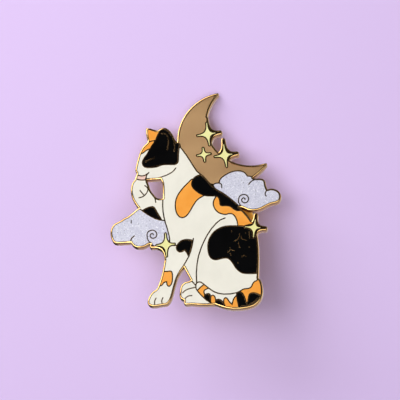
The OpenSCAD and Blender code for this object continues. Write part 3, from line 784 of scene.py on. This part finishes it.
@dataclass
class ButterflyClutch:
    """A butterfly clutch: a pressed cup that the post passes through, and a spring strip of two wings."""

    side: Side
    bore_r: float = 0.61 * MM
    sheet_t: float = 0.35 * MM
    lip_w: float = 0.7 * MM
    flange_w: float = 1.1 * MM
    wing_t: float = 0.3 * MM
    wing_clear: float = 0.15 * MM
    wing_edge: float = 0.07 * MM
    wing_edge_deg: float = 60.0
    box_clear: float = 0.02 * MM
    jaw_gap: float = 0.15 * MM
    jaw_w: float = 3.0 * MM
    flare_l: float = 1.2 * MM
    tip_l: float = 1.9 * MM
    tip_power: float = 2.4
    tip_full: float = 0.995
    strips_along: int = 64
    strips_across: int = 25
    cup_turns: int = 120
    finish_cup: Finish = GoldPlate("gold_cup", light=(238, 204, 138), deep=(220, 180, 112), patch_mm=1.8)
    finish_wing: Finish = GoldPlate("gold_wing", light=(242, 208, 142), deep=(224, 184, 118), patch_mm=1.2,
                                    rough_low=0.14, rough_high=0.28)

    def build(self) -> list[bpy.types.Object]:
        """Builds the cup and both wings.

        Returns:
            The finished pieces.
        """
        return [self.build_cup(), *(self.build_wing(wing) for wing in Wing)]

    def build_cup(self) -> bpy.types.Object:
        """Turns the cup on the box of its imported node.

        Returns:
            The finished piece.
        """
        node = f"{self.side.word}_clutch_cup"
        low, high = (np.array(corner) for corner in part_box(node))
        centre, rim = (low[0] + high[0]) / 2, (high[0] - low[0]) / 2
        drum = rim - self.flange_w
        foot, top = low[1], high[1]
        roll = 0.75 * self.sheet_t
        arc = np.radians(np.arange(-90.0, 121.0, 15.0))
        curl = np.stack([rim - roll + roll * np.cos(arc), foot + roll + roll * np.sin(arc)], -1)
        corners = np.concatenate([
            [[self.bore_r, foot]], curl,
            [[drum, foot + self.sheet_t], [drum, top], [drum - self.lip_w, top],
             [drum - self.lip_w, top - self.sheet_t], [drum - self.sheet_t, top - self.sheet_t],
             [drum - self.sheet_t, foot + self.sheet_t], [self.bore_r, foot + self.sheet_t]]])
        radii = np.array([0.06] + [0.0] * len(curl) + [0.25, 0.3, 0.12, 0.1, 0.15, 0.25, 0.08]) * MM
        profile = rounded(corners, radii, closed=True)
        piece = turned(f"{node}_pressed", profile[::-1], centre, turns=self.cup_turns, closed=True)
        piece.data.materials.append(self.finish_cup.build())
        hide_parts(node)
        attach(piece, f"{self.side.word}_clutch")
        return piece

    def build_wing(self, wing: Wing) -> bpy.types.Object:
        """Bends one wing out of strip.

        The strip's middle is a smooth path from the jaw to the tip. Across it, z = half width * u, with u
        from -1 to 1. The half width grows from the jaw to the blade and falls at the tip as a quarter of
        a superellipse. The jaw's edge follows the post: x = sqrt(bore radius^2 - z^2) next to the post.

        Args:
            wing: Which of the two wings.

        Returns:
            The finished piece.
        """
        node = f"{self.side.word}_clutch_{wing.word}_wing"
        low, high = (np.array(corner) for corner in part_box(node))
        cup_low, cup_high = (np.array(corner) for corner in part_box(f"{self.side.word}_clutch_cup"))
        centre = (cup_low[0] + cup_high[0]) / 2
        way = self.side.value * wing.value
        rim = (cup_high[0] - cup_low[0]) / 2
        foot, drum_h = cup_low[1], cup_high[1] - cup_low[1]
        lip = rim - self.flange_w - self.lip_w
        reach = max(abs(low[0] - centre), abs(high[0] - centre)) - 2 * self.box_clear
        height = high[1] - foot
        half = (high[2] - low[2]) / 2 - self.box_clear
        knots = np.array([
            [self.jaw_gap, self.sheet_t + 0.5 * MM], [lip * 0.45, self.sheet_t + 0.62 * MM],
            [lip - 0.55 * MM, drum_h - 0.25 * MM],
            [lip - self.wing_clear - self.wing_t / 2, drum_h + 0.45 * MM],
            [lip + 0.3 * MM, drum_h + 1.5 * MM],
            [reach - 0.95 * MM, height - 0.6 * MM],
            [reach - 0.1 * MM, height - self.wing_t / 2 - self.box_clear]])
        line = smooth_path(knots)
        run = np.concatenate([[0.0], np.cumsum(np.linalg.norm(np.diff(line, axis=0), axis=1))])
        u = np.linspace(-1, 1, self.strips_across)[None, :]
        share = np.linspace(0, 1, self.strips_along)[:, None]
        grow = np.clip((line[:, 0] - lip) / self.flare_l, 0, 1)
        width = self.jaw_w / 2 + (half - self.jaw_w / 2) * grow * grow * (3 - 2 * grow)
        tip_from = run[-1] - self.tip_l
        fall = np.clip((run - tip_from) / (run[-1] - tip_from), 0, self.tip_full)
        width = width * (1 - fall ** self.tip_power) ** (1 / self.tip_power)
        jaw_z = self.jaw_w / 2 * u
        jaw_x = np.sqrt(np.clip(self.bore_r ** 2 - jaw_z ** 2, 0, None))
        start = np.maximum(jaw_x - self.jaw_gap, 0.0)
        along = start + (run[-1] - start) * share
        x = np.interp(along, run, line[:, 0])
        y = np.interp(along, run, line[:, 1])
        z = np.interp(along, run, width) * u
        grid = np.stack([centre + way * x, foot + y, z], -1)
        quads = grid_faces(*grid.shape[:2])
        faces = [quads if way < 0 else quads[:, ::-1]]
        piece = make_piece(f"{node}_bent", grid.reshape(-1, 3), faces, CREASE_DEG)
        sheet = piece.modifiers.new("sheet", "SOLIDIFY")
        sheet.thickness = self.wing_t
        sheet.offset = 0.0
        sheet.use_even_offset = True
        edge = piece.modifiers.new("edge", "BEVEL")
        edge.width = self.wing_edge
        edge.segments = 3
        edge.limit_method = "ANGLE"
        edge.angle_limit = math.radians(self.wing_edge_deg)
        piece.data.materials.append(self.finish_wing.build())
        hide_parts(node)
        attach(piece, f"{self.side.word}_{wing.word}_wing")
        return piece


# ---- Studio ----


@dataclass(frozen=True)
class Lamp:
    """A soft square lamp that looks at the pin.

    Attributes:
        name: Name of the lamp.
        side: Metres to the right of the pin, as the camera sees it.
        rise: Metres above the pin.
        front: Metres from the pin towards the camera; a negative one stands behind the pin.
        size: Side of the square in metres.
        power: Watts.
    """

    name: str
    side: float
    rise: float
    front: float
    size: float
    power: float


@dataclass
class Studio:
    """Pale backdrop that the pin leans on, soft lamps and the camera."""

    azimuth: float = math.radians(5.5)
    elevation: float = math.radians(-17.0)
    distance: float = 450 * MM
    frame_width: float = 81.3 * MM
    sensor: float = 36.0
    aim: tuple[float, float, float] = (0.71 * MM, -1.8 * MM, 3.0 * MM)
    clip_start: float = 10 * MM
    backdrop: tuple[float, float, float] = (227, 202, 248)
    backdrop_rough: float = 0.9
    backdrop_shine: float = 0.1
    backdrop_gap: float = 0.05 * MM
    reach: float = 1.2
    room_tint: tuple[float, float, float, float] = (1.0, 0.97, 0.93, 1.0)
    room_strength: float = 0.1
    lamps: tuple[Lamp, ...] = (
        Lamp("window", side=-0.22, rise=0.08, front=0.39, size=0.26, power=0.8),
        Lamp("high_window", side=-0.29, rise=0.37, front=0.19, size=0.36, power=1.55),
        Lamp("front", side=-0.02, rise=-0.06, front=0.46, size=0.42, power=0.92),
        Lamp("behind", side=0.28, rise=-0.10, front=-0.38, size=0.9, power=2.4),
        Lamp("behind_low", side=-0.30, rise=0.10, front=-0.40, size=0.3, power=0.4),
        Lamp("side", side=0.50, rise=0.06, front=-0.04, size=0.4, power=0.4),
    )

    def axes(self) -> tuple[np.ndarray, np.ndarray, np.ndarray]:
        """Directions to the right, up and towards the camera.

        Returns:
            Three unit vectors.
        """
        ca, sa = math.cos(self.azimuth), math.sin(self.azimuth)
        ce, se = math.cos(self.elevation), math.sin(self.elevation)
        return np.array([ca, sa, 0.0]), np.array([-sa * se, ca * se, ce]), np.array([sa * ce, -ca * ce, se])

    def place_camera(self) -> None:
        """Aims the camera at the front of the pin."""
        right, up, away = self.axes()
        data = bpy.data.cameras.new("camera")
        data.sensor_width = self.sensor
        data.lens = self.sensor * self.distance / self.frame_width
        data.clip_start = self.clip_start
        camera = bpy.data.objects.new("camera", data)
        turn = np.eye(4)
        turn[:3, 0], turn[:3, 1], turn[:3, 2] = right, up, away
        turn[:3, 3] = np.array(self.aim) + away * self.distance
        camera.matrix_world = Matrix(turn.tolist())
        bpy.context.scene.collection.objects.link(camera)
        bpy.context.scene.camera = camera

    def place_lamp(self, lamp: Lamp) -> None:
        """Adds a lamp, its place counted along the camera's own directions.

        Args:
            lamp: The lamp to add.
        """
        right, up, away = self.axes()
        data = bpy.data.lights.new(lamp.name, "AREA")
        data.shape = "SQUARE"
        data.size = lamp.size
        data.energy = lamp.power
        place = right * lamp.side + up * lamp.rise + away * lamp.front
        back = place / np.linalg.norm(place)
        across = np.cross(np.array([0.0, 0.0, 1.0]), back)
        across /= np.linalg.norm(across)
        turn = np.eye(4)
        turn[:3, 0], turn[:3, 1], turn[:3, 2], turn[:3, 3] = across, np.cross(back, across), back, place
        holder = bpy.data.objects.new(lamp.name, data)
        holder.matrix_world = Matrix(turn.tolist())
        bpy.context.scene.collection.objects.link(holder)

    def build_backdrop(self) -> None:
        """Lays the backdrop against the tip of the moon and the ends of the wings."""
        wing_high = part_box("left_clutch_outer_wing")[1]
        plate_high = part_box("base_plate")[1]
        lean = math.atan2(wing_high[1] - plate_high[1], plate_high[2] - wing_high[2])
        normal = np.array([0.0, -math.cos(lean), -math.sin(lean)])
        sideways = np.array([1.0, 0.0, 0.0])
        upward = np.cross(sideways, normal) * -1
        middle = np.array([0.0, wing_high[1], wing_high[2]]) - normal * self.backdrop_gap
        corners = np.array([middle + sideways * i * self.reach + upward * j * self.reach
                            for i, j in ((-1, -1), (1, -1), (1, 1), (-1, 1))])
        order = np.array([[0, 1, 2, 3]])
        if np.dot(np.cross(corners[1] - corners[0], corners[2] - corners[1]), normal) < 0:
            order = order[:, ::-1]
        piece = make_piece("backdrop", corners, [order], CREASE_DEG)
        piece.data.materials.append(self.backdrop_finish())

    def backdrop_finish(self) -> bpy.types.Material:
        """Lavender paper, seen only from its front.

        It is clear from behind, to shadow rays, so that the lamps behind it reach the pin's back, and to
        reflection rays, so that the metal mirrors the room and the lamps and not the paper.

        Returns:
            The material.
        """
        material = bpy.data.materials.new("lavender_paper")
        material.use_nodes = True
        tree = material.node_tree
        shader = tree.nodes["Principled BSDF"]
        shader.inputs["Base Color"].default_value = linear(*self.backdrop)
        shader.inputs["Roughness"].default_value = self.backdrop_rough
        shader.inputs["Specular IOR Level"].default_value = self.backdrop_shine
        clear = tree.nodes.new("ShaderNodeBsdfTransparent")
        passes = tree.nodes.new("ShaderNodeNewGeometry").outputs["Backfacing"]
        path = tree.nodes.new("ShaderNodeLightPath")
        mix = tree.nodes.new("ShaderNodeMixShader")
        for ray in ("Is Shadow Ray", "Is Glossy Ray"):
            either = tree.nodes.new("ShaderNodeMath")
            either.operation = "MAXIMUM"
            tree.links.new(passes, either.inputs[0])
            tree.links.new(path.outputs[ray], either.inputs[1])
            passes = either.outputs[0]
        tree.links.new(passes, mix.inputs["Fac"])
        tree.links.new(shader.outputs["BSDF"], mix.inputs[1])
        tree.links.new(clear.outputs["BSDF"], mix.inputs[2])
        tree.links.new(mix.outputs["Shader"], tree.nodes["Material Output"].inputs["Surface"])
        return material

    def build_world(self) -> None:
        """Dim even surroundings; the camera sees the backdrop's colour beyond the backdrop."""
        world = bpy.data.worlds.new("room")
        bpy.context.scene.world = world
        world.use_nodes = True
        tree = world.node_tree
        dim = tree.nodes["Background"]
        dim.inputs["Color"].default_value = self.room_tint
        dim.inputs["Strength"].default_value = self.room_strength
        seen = tree.nodes.new("ShaderNodeBackground")
        seen.inputs["Color"].default_value = linear(*self.backdrop)
        seen.inputs["Strength"].default_value = 1.0
        path = tree.nodes.new("ShaderNodeLightPath")
        mix = tree.nodes.new("ShaderNodeMixShader")
        tree.links.new(path.outputs["Is Camera Ray"], mix.inputs["Fac"])
        tree.links.new(dim.outputs["Background"], mix.inputs[1])
        tree.links.new(seen.outputs["Background"], mix.inputs[2])
        tree.links.new(mix.outputs["Shader"], tree.nodes["World Output"].inputs["Surface"])

    def build(self) -> None:
        """Builds the whole studio."""
        self.place_camera()
        self.build_backdrop()
        self.build_world()
        for lamp in self.lamps:
            self.place_lamp(lamp)
        bpy.context.scene.view_settings.view_transform = "Standard"


def main() -> None:
    """Builds the pin piece by piece, then the studio."""
    logging.basicConfig(level=logging.INFO, format="%(name)s: %(message)s")
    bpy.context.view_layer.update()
    plate = StruckPlate().build()
    log.info("%s with %d faces", plate.name, len(plate.data.polygons))
    log.info("%d enamel fills", EnamelFills().dress())
    for side in Side:
        log.info("%s", NailPost(side).build().name)
        for piece in ButterflyClutch(side).build():
            log.info("%s", piece.name)
    Studio().build()


if __name__ == "__main__":
    main()
